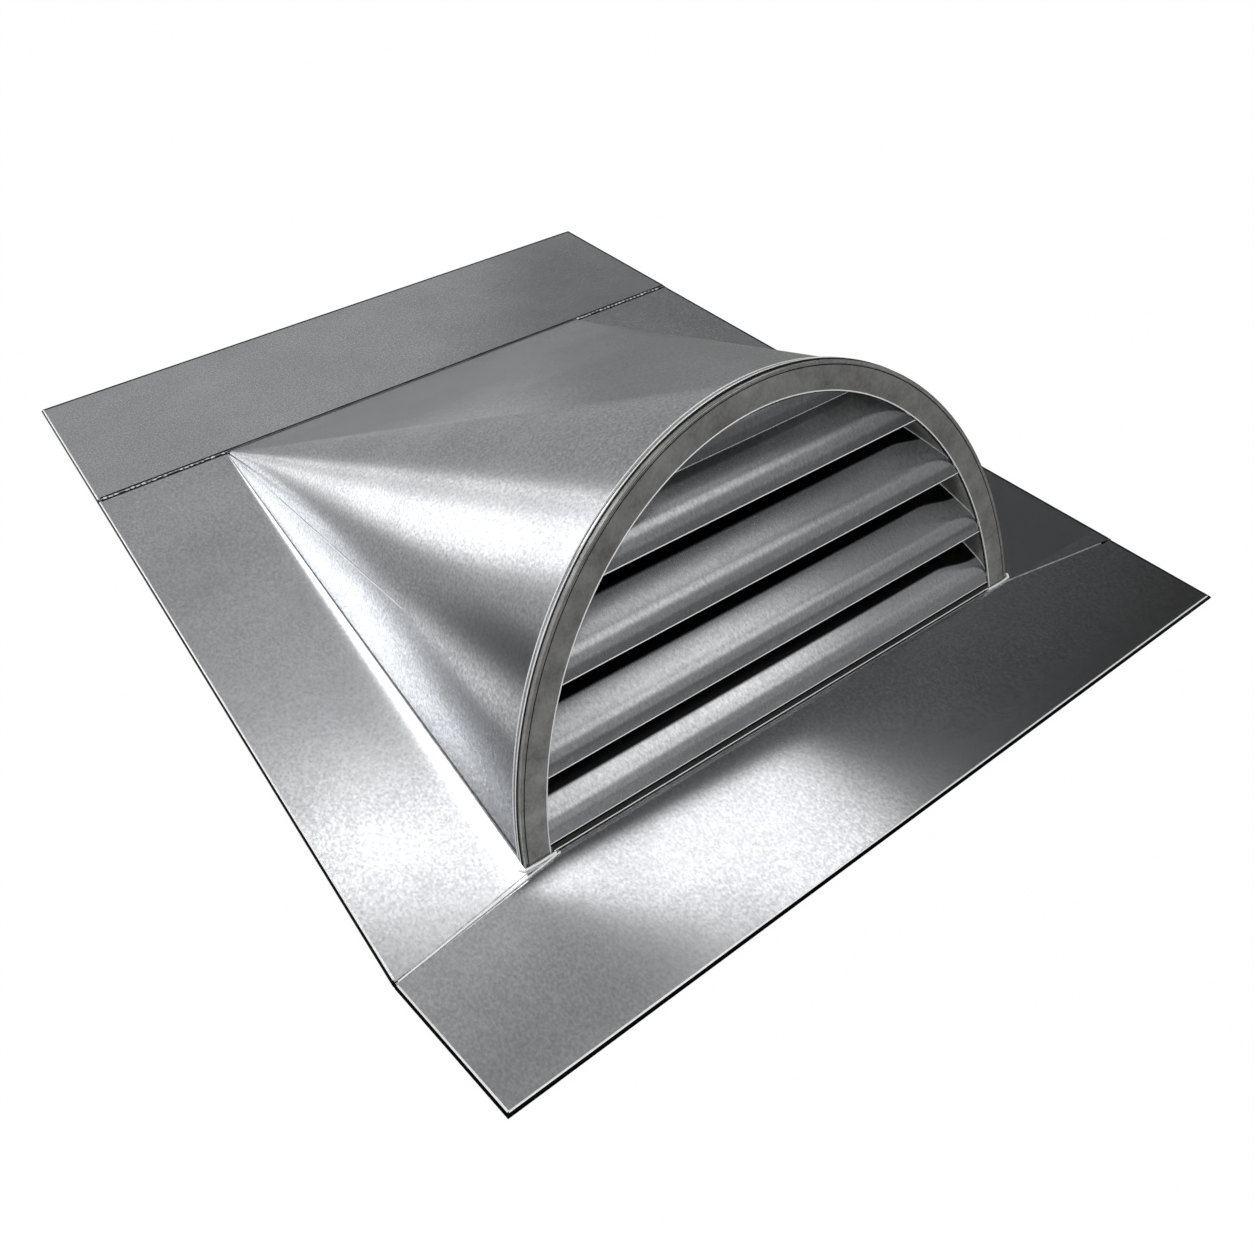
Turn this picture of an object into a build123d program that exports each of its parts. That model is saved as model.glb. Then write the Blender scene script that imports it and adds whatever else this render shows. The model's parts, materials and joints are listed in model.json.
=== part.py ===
from build123d import *
import math
import os

os.makedirs("parts", exist_ok=True)

# Dormer roof vent, lying flat as on a roof deck.
# Origin: middle of the flashing's underside, between its outermost edges.
# X runs along the face, Y up the roof slope, Z away from the roof.

# Sheet and flashing
sheet = 0.8
hem_width = 10.0
hem_gap = 2.0
hem_roundness = 0.45
flashing_half_width = 337.0
flashing_back_y = 471.0
apron_front_right_y = -455.0
apron_front_left = (-322.0, -471.0)
side_seam_outer_y = -362.0
side_seam_foot_y = -344.0
lap = 18.0
lap_side_clearance = 1.0
throat_margin = 24.0
throat_front_y = -325.0

# Louvred face and hood
foot_y = -341.0
hood_length = 601.0
face_half_width = 229.0
face_rise = 254.0
face_tilt = 11.0
arch_drop = 35.0
crown_flat = 2.0
hood_back_half_width = 208.5
back_corner = 1.4
head_clearance = 0.4
hood_back_flange = 20.0
hood_hem_depth = 5.0
rim_depth = 4.0
rim_gap = 0.8
ring_width = 18.5
web_depth = 66.0
sill_height = 4.6
sill_depth = 10.0

# Louvre blades; their lips spread between the crown lip and the sill lip in these spacings
crown_lip_drop = 32.0
sill_lip_height = 9.0
lip_spacings = (42.5, 58.5, 60.6, 51.4)
blade_setback = 1.2
blade_rise = 30.0
blade_roll_radius = 18.0
blade_run = 44.0
lip_thickness = 2.2
lip_height = 5.0
fit_clearance = 0.05

# Sheet levels: apron lowest, side flashings over it, head flashing over those
apron_level = sheet + hem_gap
side_level = apron_level + sheet
head_level = side_level + sheet
hood_level = head_level

head_seam_y = foot_y + hood_length
tilt = math.radians(face_tilt)
face_plane = Plane(
    origin=(0, foot_y, hood_level),
    x_dir=(1, 0, 0),
    z_dir=(0, -math.cos(tilt), math.sin(tilt)),
)
arch_semi_height = face_rise + arch_drop


# Half-width of an arch with the given semi-axes at a height up the face
def arch_half_width(semi_width, semi_height, height):
    ratio = (height + arch_drop) / semi_height
    return semi_width * math.sqrt(max(0.0, 1 - ratio * ratio))


# The outer arch is an ellipse whose centre lies below the foot line
arch_semi_width = face_half_width / math.sqrt(1 - (arch_drop / arch_semi_height) ** 2)


# Sketch of the region under an arch, from the foot line up
def arch_region(inset, plane, floor=0.0):
    semi_width = arch_semi_width - inset
    semi_height = arch_semi_height - inset
    with BuildSketch(plane) as region:
        with Locations((0, -arch_drop)):
            Ellipse(semi_width, semi_height)
        with Locations((0, floor)):
            Rectangle(4 * semi_width, 2 * semi_height, align=(Align.CENTER, Align.MIN), mode=Mode.INTERSECT)
    return region.sketch


# Closed body of the hood: the arched face lofted to a straight, low back edge, which makes
# two oblique half-cones with a flat triangle between them.
# It grows or shrinks about the middle of the foot line, so the wall stays even.
def hood_form(growth):
    k = 1 + growth / face_half_width
    semi_width = arch_semi_width * k
    semi_height = arch_semi_height * k
    drop = arch_drop * k
    foot_angle = math.degrees(math.asin(drop / semi_height))
    crown = Vector(crown_flat / 2 * k, face_rise * k)
    corner = back_corner / face_half_width
    back_x = hood_back_half_width * k
    back_plane = Plane(
        origin=(0, foot_y + hood_length * k, hood_level), x_dir=face_plane.x_dir, z_dir=face_plane.z_dir
    )
    with BuildPart() as form:
        for plane, size, middle in (
            (face_plane, 1.0, crown.X),
            (back_plane, corner, back_x - corner * (face_half_width * k - crown.X)),
        ):
            with BuildSketch(plane) as section:
                with BuildLine():
                    width, height = (semi_width - crown.X) * size, semi_height * size
                    right = EllipticalCenterArc(
                        (middle, -drop * size), width, height, foot_angle, arc_size=90 - foot_angle
                    )
                    Line(right @ 1, (-middle, (right @ 1).Y))
                    EllipticalCenterArc((-middle, -drop * size), width, height, 90, arc_size=90 - foot_angle)
                    Line((-(right @ 0).X, 0), right @ 0)
                make_face()
        loft(ruled=True)
    return form.part


# Slab parallel to the face between two depths behind it
def face_slab(front_depth, back_depth):
    with BuildPart() as slab:
        with BuildSketch(face_plane.offset(-back_depth)):
            Rectangle(4 * face_half_width, 4 * face_rise)
        extrude(amount=back_depth - front_depth)
    return slab.part


# Slice of the hood's body, grown by a distance, between two depths behind the face
def form_slice(growth, front_depth, back_depth):
    with BuildPart() as piece:
        add(hood_form(growth))
        add(face_slab(front_depth, back_depth), mode=Mode.INTERSECT)
    return piece.part


# Large block above a level, used to keep parts off the flashing
def above(level):
    with BuildPart() as block:
        with BuildSketch(Plane.XY.offset(level)):
            Rectangle(4 * flashing_half_width, 4 * flashing_back_y)
        extrude(amount=2 * face_rise)
    return block.part


# Inner line of an open polyline set in to its left by a distance, mitred at the corners
def inset_line(points, distance):
    normals = []
    for (x0, y0), (x1, y1) in zip(points, points[1:]):
        length = math.hypot(x1 - x0, y1 - y0)
        normals.append((-(y1 - y0) / length, (x1 - x0) / length))
    inner = []
    for i, (x, y) in enumerate(points):
        first = normals[max(i - 1, 0)]
        second = normals[min(i, len(normals) - 1)]
        mx, my = first[0] + second[0], first[1] + second[1]
        scale = 2 * distance / (mx * mx + my * my)
        inner.append((x + mx * scale, y + my * scale))
    return inner


# Point on the way from one corner to the next
def part_way(start, end, distance):
    length = math.hypot(end[0] - start[0], end[1] - start[1])
    share = distance / length
    return (start[0] + share * (end[0] - start[0]), start[1] + share * (end[1] - start[1]))


def strip_outline(points, distance):
    return list(points) + list(reversed(inset_line(points, distance)))


# Flat flashing sheet with its free edges rolled under into an open hem
def hemmed_flashing(outline, hem_points, level):
    top = level + sheet
    roll_radius = hem_roundness * top
    with BuildPart() as panel:
        with BuildSketch(Plane.XY.offset(level)):
            Polygon(*outline, align=None)
        extrude(amount=sheet)
        with BuildSketch(Plane.XY):
            Polygon(*strip_outline(hem_points, hem_width), align=None)
        extrude(amount=sheet)
        with BuildSketch(Plane.XY):
            Polygon(*strip_outline(hem_points, sheet), align=None)
        extrude(amount=top)
        for line, levels, radius in (
            (inset_line(hem_points, sheet), (sheet, level), roll_radius - sheet),
            (hem_points, (0, top), roll_radius),
        ):
            bends = []
            for (x0, y0), (x1, y1) in zip(line, line[1:]):
                for z in levels:
                    middle = Vector((x0 + x1) / 2, (y0 + y1) / 2, z)
                    bends += panel.edges().filter_by(lambda e: (e.center() - middle).length < 0.5)
            fillet(bends, radius=radius)
    return panel.part


# Side flashing, drawn for the right and mirrored for the left
def side_outline(side):
    w = flashing_half_width
    tongue = w - hem_width - lap_side_clearance
    inner_front = face_half_width - throat_margin
    inner_back = hood_back_half_width - throat_margin
    return [
        (side * w, side_seam_outer_y),
        (side * w, head_seam_y),
        (side * tongue, head_seam_y),
        (side * tongue, head_seam_y + lap),
        (side * inner_back, head_seam_y + lap),
        (side * inner_front, side_seam_foot_y),
        (side * (face_half_width + 1), side_seam_foot_y),
    ]


w = flashing_half_width
side_flashing_right = hemmed_flashing(
    side_outline(1), [(w, side_seam_outer_y), (w, head_seam_y)], side_level
)
side_flashing_right.label = "side_flashing_right"
export_step(side_flashing_right, "parts/side_flashing_right.step")

side_flashing_left = hemmed_flashing(
    side_outline(-1), [(-w, head_seam_y), (-w, side_seam_outer_y)], side_level
)
side_flashing_left.label = "side_flashing_left"
export_step(side_flashing_left, "parts/side_flashing_left.step")

# Head flashing, laid over the sides and the hood's back flange
head_front_y = head_seam_y + head_clearance
head_outline = [(w, head_front_y), (w, flashing_back_y), (-w, flashing_back_y), (-w, head_front_y)]
head_flashing = hemmed_flashing(head_outline, head_outline, head_level)
head_flashing.label = "head_flashing"
export_step(head_flashing, "parts/head_flashing.step")

# Front apron, its left end drawn in as on the piece shown
tongue = w - hem_width - lap_side_clearance
front_apron = hemmed_flashing(
    [
        (-w, side_seam_outer_y),
        apron_front_left,
        (w, apron_front_right_y),
        (w, side_seam_outer_y),
        (tongue, side_seam_outer_y),
        (tongue, side_seam_outer_y + lap),
        (face_half_width, throat_front_y),
        (-face_half_width, throat_front_y),
        (-tongue, side_seam_outer_y + lap),
        (-tongue, side_seam_outer_y),
    ],
    [
        part_way((-w, side_seam_outer_y), apron_front_left, 2.0),
        apron_front_left,
        (w, apron_front_right_y),
        (w, side_seam_outer_y),
    ],
    apron_level,
)
front_apron.label = "front_apron"
export_step(front_apron, "parts/front_apron.step")

# Front edge of the hood sheet, folded back on its outside
fold_front = rim_depth + rim_gap
with BuildPart() as folded_edge:
    add(form_slice(sheet, fold_front, fold_front + hood_hem_depth))
    add(hood_form(-0.3 * sheet), mode=Mode.SUBTRACT)

# Hood shell, standing on the side flashings, with a flat flange tucked under the head flashing
with BuildPart() as hood:
    add(hood_form(0))
    add(hood_form(-sheet), mode=Mode.SUBTRACT)
    add(face_slab(-10, sheet), mode=Mode.SUBTRACT)
    add(folded_edge.part)
    with BuildSketch(Plane.XY.offset(side_level)):
        with Locations((0, head_seam_y - 0.5 * hood_back_flange)):
            Rectangle(
                2 * (hood_back_half_width - throat_margin - lap_side_clearance),
                1.5 * hood_back_flange,
                align=(Align.CENTER, Align.MIN),
            )
    extrude(amount=sheet)
hood.part.label = "hood"
export_step(hood.part, "parts/hood.step")

# Face frame: flat arched face, rim wrapping the hood, deep inner web and sill
sill_half = face_half_width - throat_margin - lap_side_clearance
web_half = arch_half_width(arch_semi_width - ring_width, arch_semi_height - ring_width, 0)
with BuildPart() as web:
    with BuildSketch(face_plane.offset(-web_depth)):
        add(arch_region(ring_width - sheet, Plane.XY, floor=-web_depth))
        add(arch_region(ring_width, Plane.XY, floor=-web_depth), mode=Mode.SUBTRACT)
    extrude(amount=web_depth)
    add(above(hood_level), mode=Mode.INTERSECT)

with BuildPart() as face_frame:
    add(form_slice(sheet + fit_clearance, 0, rim_depth))
    add(form_slice(fit_clearance, sheet, 2 * rim_depth), mode=Mode.SUBTRACT)
    with BuildSketch(face_plane.offset(-2 * rim_depth)):
        add(arch_region(ring_width - 0.5 * sheet, Plane.XY, floor=-web_depth))
    extrude(amount=4 * rim_depth, mode=Mode.SUBTRACT)
    add(web.part)
    with BuildSketch(face_plane.offset(-sheet)):
        with Locations((0, sheet)):
            Rectangle(2 * web_half, sill_height - sheet, align=(Align.CENTER, Align.MIN))
    extrude(amount=sheet)
    with BuildSketch(Plane.XY.offset(side_level)):
        with Locations((0, foot_y)):
            Rectangle(2 * sill_half, sill_depth, align=(Align.CENTER, Align.MIN))
    extrude(amount=2 * sheet)
face_frame.part.label = "face_frame"
export_step(face_frame.part, "parts/face_frame.step")


# Louvre blade: hemmed lip, rolled front and sloping run, its ends cut to the arch
def louvre_blade(height):
    up = Vector(math.sin(tilt), math.cos(tilt))
    inward = Vector(math.cos(tilt), -math.sin(tilt))
    lip = face_plane.from_local_coords((0, height, -blade_setback))
    lip_top = Vector(lip.Y, lip.Z) + up * (lip_height / 2)
    lip_foot = Vector(lip.Y, lip.Z) - up * (lip_height / 2)
    turn = 90 - face_tilt - blade_rise
    rise_angle = math.radians(blade_rise)
    rise_normal = Vector(-math.sin(rise_angle), math.cos(rise_angle))
    reach = arch_semi_width
    with BuildPart() as outside:
        with BuildSketch(face_plane.offset(-2 * web_depth)):
            Rectangle(4 * reach, 4 * reach)
        extrude(amount=4 * web_depth)
        with BuildSketch(face_plane.offset(-3 * web_depth)):
            add(arch_region(ring_width + fit_clearance, Plane.XY, floor=-web_depth))
        extrude(amount=6 * web_depth, mode=Mode.SUBTRACT)
    with BuildPart() as blade:
        with BuildSketch(Plane.YZ.offset(-reach)):
            with BuildLine():
                roll = JernArc(lip_top, up, blade_roll_radius, -turn)
                run = Line(roll @ 1, (roll @ 1) + (roll % 1) * blade_run)
                back = Line(run @ 1, (run @ 1) - rise_normal * sheet)
                below = Line(back @ 1, (run @ 0) - rise_normal * sheet)
                inner = JernArc(below @ 1, -(roll % 1), blade_roll_radius - sheet, turn)
                rear_top = lip_top + inward * lip_thickness
                rear_foot = lip_foot + inward * lip_thickness
                Polyline(inner @ 1, rear_top, rear_foot)
                bead = lip_foot + inward * (lip_thickness / 2) - up * (lip_thickness / 2)
                ThreePointArc(rear_foot, bead, lip_foot)
                Line(lip_foot, lip_top)
            make_face()
        extrude(amount=2 * reach)
        add(outside.part, mode=Mode.SUBTRACT)
        with BuildSketch(Plane.XY.offset(hood_level + fit_clearance)):
            with Locations((0, foot_y)):
                Rectangle(4 * reach, 4 * web_depth)
        extrude(amount=-web_depth, mode=Mode.SUBTRACT)
    return blade.part


lip_span = face_rise - crown_lip_drop - sill_lip_height
spread = lip_span / sum(lip_spacings)
for number in range(1, len(lip_spacings) + 2):
    blade_part = louvre_blade(face_rise - crown_lip_drop - spread * sum(lip_spacings[: number - 1]))
    blade_part.label = f"louver_{number}"
    export_step(blade_part, f"parts/louver_{number}.step")
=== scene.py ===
import json
import math

import bpy
from mathutils import Matrix, Vector


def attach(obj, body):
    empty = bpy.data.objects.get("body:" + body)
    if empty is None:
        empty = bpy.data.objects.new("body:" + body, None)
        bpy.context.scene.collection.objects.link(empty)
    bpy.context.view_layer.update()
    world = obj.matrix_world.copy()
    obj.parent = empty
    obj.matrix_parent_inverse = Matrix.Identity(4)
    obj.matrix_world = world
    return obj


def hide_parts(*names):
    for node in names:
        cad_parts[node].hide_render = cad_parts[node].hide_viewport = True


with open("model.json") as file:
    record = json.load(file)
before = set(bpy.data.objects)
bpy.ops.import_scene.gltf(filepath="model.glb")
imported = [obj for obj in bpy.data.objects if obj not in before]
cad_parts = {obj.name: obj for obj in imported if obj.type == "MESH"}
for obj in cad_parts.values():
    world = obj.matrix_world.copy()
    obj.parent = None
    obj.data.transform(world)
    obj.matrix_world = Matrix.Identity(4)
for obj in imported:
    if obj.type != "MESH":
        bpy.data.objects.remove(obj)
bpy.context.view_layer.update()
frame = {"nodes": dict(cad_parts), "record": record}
scene = bpy.context.scene
print("frame loaded:", len(frame["nodes"]), "sheet parts")


# Camera, fitted to the vent lying on the floor plane

cameraSetup = {
    "azimuth": 32.83,
    "elevation": 42.91,
    "roll": -4.02,
    "distance": 0.8746,
    "target": (-0.0439, -0.1933, 0.002),
    "lens": 31.414,
    "sensor": 36.0,
    "clip": (0.02, 200.0),
}


def placeCamera(setup):
    az, el, roll = (math.radians(setup[k]) for k in ("azimuth", "elevation", "roll"))
    look = Vector((math.sin(az) * math.cos(el), math.cos(az) * math.cos(el), -math.sin(el)))
    side = look.cross(Vector((0, 0, 1))).normalized()
    up = side.cross(look)
    camX = side * math.cos(roll) + up * math.sin(roll)
    camY = up * math.cos(roll) - side * math.sin(roll)
    data = bpy.data.cameras.new("ventCamera")
    data.lens = setup["lens"]
    data.sensor_width = setup["sensor"]
    data.clip_start, data.clip_end = setup["clip"]
    camera = bpy.data.objects.new("ventCamera", data)
    scene.collection.objects.link(camera)
    turn = Matrix((camX, camY, -look)).transposed().to_4x4()
    place = Vector(setup["target"]) - look * setup["distance"]
    camera.matrix_world = Matrix.Translation(place) @ turn
    scene.camera = camera


placeCamera(cameraSetup)
print("camera placed")


# Face: an upright arch on a plane that leans back; heights run up the face
face = {
    "footY": -0.341,
    "level": 0.0044,
    "tilt": math.radians(11.0),
    "halfWidth": 0.229,
    "rise": 0.254,
    "drop": 0.035,
    "ring": 0.0185,
}


# Arch of the face: an ellipse whose middle lies below the foot line
archHigh = face["rise"] + face["drop"]
archWide = face["halfWidth"] / math.sqrt(1 - (face["drop"] / archHigh) ** 2)


def onFace(x, height, depth=0.0):
    lean, stand = math.sin(face["tilt"]), math.cos(face["tilt"])
    y = face["footY"] + height * lean + depth * stand
    z = face["level"] + height * stand - depth * lean
    return Vector((x, y, z))


# Half-width of the arch drawn in by inset, at a height up the face
def archHalf(height, inset=0.0):
    share = (height + face["drop"]) / (archHigh - inset)
    return (archWide - inset) * math.sqrt(max(0.0, 1 - share * share))


# Line over the arch from foot to foot, drawn in by inset and set back by depth
def archLine(inset, depth, steps=160, foot=0.0):
    wide, high = archWide - inset, archHigh - inset
    start = math.asin((face["drop"] + foot) / high)
    points = []
    for i in range(steps + 1):
        turn = start + (math.pi - 2 * start) * i / steps
        points.append(onFace(wide * math.cos(turn), high * math.sin(turn) - face["drop"], depth))
    return points


# Louvre blades: heights of their lips up the face, and the shape of each blade behind its lip
blades = {
    "heights": (0.222, 0.1795, 0.121, 0.0604, 0.009),
    "setback": 0.0012,
    "lipHalf": 0.0025,
    "rollRadius": 0.018,
    "runRise": math.radians(30.0),
    "run": 0.044,
    "foldRadius": 0.0005,
    "foldDrop": 0.0006,
    "foldDepth": 0.0003,
    "crownFoldRadius": 0.0004,
    "crownFoldDrop": 0.0003,
    "foldEnd": 0.0004,
    "endRadius": 0.0006,
    "endGap": 0.0002,
}


# Flashing: its outline from above, and the heights of its sheets' tops
flashing = {
    "halfWidth": 0.337,
    "back": 0.471,
    "lapY": -0.362,
    "headY": 0.2604,
    "apronLeft": (-0.322, -0.471),
    "apronRight": (0.337, -0.455),
    "apronTop": 0.0036,
    "sideTop": 0.0044,
    "headTop": 0.0052,
}
flashingOutline = [
    flashing["apronRight"],
    (flashing["halfWidth"], flashing["back"]),
    (-flashing["halfWidth"], flashing["back"]),
    (-flashing["halfWidth"], flashing["lapY"]),
    flashing["apronLeft"],
]


# Small helpers for building node trees

def addNode(tree, kind, inputs=None, **settings):
    node = tree.nodes.new(kind)
    for key, value in settings.items():
        setattr(node, key, value)
    for key, value in (inputs or {}).items():
        socket = node.inputs[key]
        if isinstance(value, bpy.types.NodeSocket):
            tree.links.new(value, socket)
        else:
            socket.default_value = value
    return node


def mathNode(tree, operation, a, b=0.0, clamp=False):
    node = addNode(tree, "ShaderNodeMath", {0: a, 1: b}, operation=operation)
    node.use_clamp = clamp
    return node.outputs[0]


def spread(tree, value, fromLow, fromHigh, toLow, toHigh, smooth=False):
    node = addNode(
        tree, "ShaderNodeMapRange",
        {0: value, 1: fromLow, 2: fromHigh, 3: toLow, 4: toHigh},
    )
    if smooth:
        node.interpolation_type = "SMOOTHSTEP"
    return node.outputs[0]


def splitVector(tree, vector):
    return addNode(tree, "ShaderNodeSeparateXYZ", {0: vector}).outputs


def joinVector(tree, *parts):
    return addNode(tree, "ShaderNodeCombineXYZ", dict(enumerate(parts))).outputs[0]


def vectorNode(tree, operation, a, b):
    return addNode(tree, "ShaderNodeVectorMath", {0: a, 1: b}, operation=operation).outputs[0]


def scaleVector(tree, vector, factor):
    return addNode(
        tree, "ShaderNodeVectorMath", {0: vector, "Scale": factor}, operation="SCALE"
    ).outputs[0]


# How far a place lies along an axis
def alongAxis(tree, place, axis):
    node = addNode(tree, "ShaderNodeVectorMath", {0: place, 1: axis}, operation="DOT_PRODUCT")
    return node.outputs["Value"]


def mixLevels(tree, share, a, b):
    return addNode(tree, "ShaderNodeMix", {0: share, 2: a, 3: b}, data_type="FLOAT").outputs[0]


def objectPlace(tree):
    return addNode(tree, "ShaderNodeTexCoord").outputs["Object"]


def grey(level):
    return (level, level, level, 1.0)


def darken(tree, tone, share, level):
    return addNode(
        tree, "ShaderNodeMix", {0: share, 6: tone, 7: grey(level)}, data_type="RGBA"
    ).outputs[2]


# How dark the shaded places of the sheets are: greatest share of shade, and its tone
shades = {
    "joint": {"most": 0.92, "tone": 0.02},
    "throat": {
        "tone": 0.004, "lipReach": (0.005, 0.0115),
        "webReach": (0.045, 0.008), "webDepth": 0.005,
    },
    "sill": {"most": 0.92, "tone": 0.01, "blendUp": 0.0008, "blendAcross": 0.001},
    "edge": {"most": 1.0, "tone": 0.006},
}


# Painted shade: a dark line low on the hood, where its foot meets the flashing; "fan" counts across
# the hood
def jointShade(tree, tone, look):
    fan = addNode(tree, "ShaderNodeAttribute", attribute_name="fan").outputs["Vector"]
    across = splitVector(tree, fan)[0]
    fromFoot = mathNode(tree, "MINIMUM", across, mathNode(tree, "SUBTRACT", 1.0, across))
    near, far = look["jointReach"]
    share = spread(tree, fromFoot, near, far, shades["joint"]["most"], 0.0, smooth=True)
    return darken(tree, tone, share, shades["joint"]["tone"])


# The throat behind the louvres is unlit: a blade darkens with its depth behind the face, sooner
# beside the right-hand web, and also at its lip and towards its right end
def throatShade(tree, tone, look):
    blade, throat = look["throat"], shades["throat"]
    place = objectPlace(tree)
    lean = face["tilt"]
    inward = (0.0, math.cos(lean), -math.sin(lean))
    faceDepth = face["footY"] * math.cos(lean) - face["level"] * math.sin(lean)
    depth = mathNode(tree, "SUBTRACT", alongAxis(tree, place, inward), faceDepth)
    across = splitVector(tree, place)[0]
    web = archHalf(blade["height"], face["ring"])
    start, end = (web - reach for reach in throat["webReach"])
    nearWeb = spread(tree, across, start, end, 0.0, throat["webDepth"], smooth=True)
    near, far = blade["reach"]
    beside = mathNode(tree, "ADD", depth, nearWeb)
    inner = spread(tree, beside, near, far, 0.0, blade["most"], smooth=True)
    lip = spread(tree, depth, *throat["lipReach"], blade["lip"], 0.0, smooth=True)
    rightStart, rightMost = blade["right"]
    right = spread(tree, across, rightStart, web, 0.0, rightMost)
    share = mathNode(tree, "MAXIMUM", mathNode(tree, "MAXIMUM", inner, lip), right)
    return darken(tree, tone, share, throat["tone"])


# The low sill under the bottom blade is in shadow
def sillShade(tree, tone, look):
    sill = shades["sill"]
    x, _, z = splitVector(tree, objectPlace(tree))
    height, half = look["sillReach"]
    top = face["level"] + height
    low = spread(tree, z, top - sill["blendUp"], top, sill["most"], 0.0)
    middle = spread(tree, mathNode(tree, "ABSOLUTE", x), half, half + sill["blendAcross"], 1.0, 0.0)
    return darken(tree, tone, mathNode(tree, "MULTIPLY", low, middle), sill["tone"])


# Painted shade on the turned-down edge of the flashing, within a short reach of its outline
def edgeShade(tree, tone, look):
    place = objectPlace(tree)
    nearest = 1.0
    for (x0, y0), (x1, y1) in zip(flashingOutline, flashingOutline[1:] + flashingOutline[:1]):
        length = math.hypot(x1 - x0, y1 - y0)
        inX, inY = -(y1 - y0) / length, (x1 - x0) / length
        along = alongAxis(tree, place, (inX, inY, 0.0))
        fromEdge = mathNode(tree, "SUBTRACT", along, inX * x0 + inY * y0)
        nearest = mathNode(tree, "MINIMUM", nearest, fromEdge)
    near, far = look["edgeReach"]
    share = spread(tree, nearest, near, far, shades["edge"]["most"], 0.0)
    return darken(tree, tone, share, shades["edge"]["tone"])


# Sheet finishes: galvanised steel with a fine mottled grain, and the painted shade steps a look
# asks for
shadeSteps = {
    "jointReach": jointShade,
    "throat": throatShade,
    "sillReach": sillShade,
    "edgeReach": edgeShade,
}


def sheetFinish(name, look):
    material = bpy.data.materials.new(name)
    material.use_nodes = True
    tree = material.node_tree
    shader = tree.nodes["Principled BSDF"]
    shader.inputs["Metallic"].default_value = look.get("metallic", 1.0)
    shader.inputs["Specular IOR Level"].default_value = look.get("specular", 0.5)
    place = objectPlace(tree)
    grain = addNode(
        tree, "ShaderNodeMapping", {"Vector": place, "Scale": look["grainStretch"]}
    ).outputs[0]
    cloud = addNode(
        tree, "ShaderNodeTexNoise",
        {"Vector": place, "Scale": look["cloudScale"], "Detail": 5.0, "Roughness": 0.6},
    ).outputs["Fac"]
    fleck = addNode(
        tree, "ShaderNodeTexNoise",
        {"Vector": grain, "Scale": look["grainScale"], "Detail": 3.0, "Roughness": 0.65},
    ).outputs["Fac"]
    cloudPart = spread(tree, cloud, 0.3, 0.7, -look["cloudTone"], look["cloudTone"])
    fleckPart = spread(tree, fleck, 0.3, 0.7, -look["fleckTone"], look["fleckTone"])
    both = mathNode(tree, "ADD", cloudPart, fleckPart)
    share = mathNode(tree, "ADD", both, 0.5, clamp=True)
    tones = {0: share, 6: look["dark"], 7: look["light"]}
    tone = addNode(tree, "ShaderNodeMix", tones, data_type="RGBA").outputs[2]
    for key, addShade in shadeSteps.items():
        if key in look:
            tone = addShade(tree, tone, look)
    tree.links.new(tone, shader.inputs["Base Color"])
    roughLow, roughHigh = look["roughness"]
    tree.links.new(spread(tree, both, -0.5, 0.5, roughHigh, roughLow), shader.inputs["Roughness"])
    bumps = {"Height": fleck, "Strength": look["bump"], "Distance": look["bumpDepth"]}
    bump = addNode(tree, "ShaderNodeBump", bumps)
    tree.links.new(bump.outputs[0], shader.inputs["Normal"])
    return material


flashingLook = {
    "dark": (0.437, 0.445, 0.461, 1.0),
    "light": (0.712, 0.725, 0.744, 1.0),
    "cloudScale": 9.0,
    "cloudTone": 0.22,
    "grainScale": 520.0,
    "grainStretch": (1.0, 0.7, 0.7),
    "fleckTone": 0.4,
    "roughness": (0.19, 0.25),
    "bump": 0.03,
    "bumpDepth": 0.0002,
    "edgeReach": (0.0018, 0.0022),
}
bareLook = {key: value for key, value in flashingLook.items() if key != "edgeReach"}
hoodLook = dict(bareLook, roughness=(0.165, 0.215), fleckTone=0.55, jointReach=(0.0032, 0.0052))
frameLook = dict(
    bareLook,
    dark=(0.21, 0.208, 0.2, 1.0),
    light=(0.44, 0.438, 0.425, 1.0),
    metallic=0.7,
    roughness=(0.34, 0.46),
    cloudScale=55.0,
    cloudTone=0.45,
    fleckTone=0.2,
    sillReach=(0.0062, 0.2085),
)
louverLook = dict(
    bareLook,
    dark=(0.53, 0.54, 0.558, 1.0),
    light=(0.855, 0.87, 0.89, 1.0),
    metallic=0.85,
    grainStretch=(1.0, 0.6, 0.6),
    roughness=(0.22, 0.28),
)
# Painted shade on each blade: depths behind the face between which it goes dark, how dark it goes,
# how dark its lip is, where its darker right part starts and how dark that ends
bladeShades = {
    "louver_1": {"reach": (0.012, 0.022), "most": 0.9, "lip": 0.7, "right": (-0.09, 0.5)},
    "louver_2": {"reach": (0.0142, 0.0175), "most": 0.62, "lip": 0.45, "right": (-0.09, 0.7)},
    "louver_3": {"reach": (0.0222, 0.0242), "most": 1.0, "lip": 0.42, "right": (0.0, 0.45)},
    "louver_4": {"reach": (0.0213, 0.0233), "most": 1.0, "lip": 0.4, "right": (-0.03, 0.45)},
    "louver_5": {"reach": (0.0136, 0.0156), "most": 1.0, "lip": 0.35, "right": (0.05, 0.4)},
}
# Near-white finish for thin beads: painted highlight, bright whatever the beads reflect
paintedHighlightLook = dict(bareLook, dark=grey(0.78), light=grey(0.95), metallic=0.4, roughness=(0.2, 0.3))
# Near-black finish for thin beads: painted shade in gaps, grooves and on the far edges
shadeLook = dict(
    bareLook, dark=grey(0.006), light=grey(0.02), metallic=0.0, specular=0.1, roughness=(0.6, 0.8)
)

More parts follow.
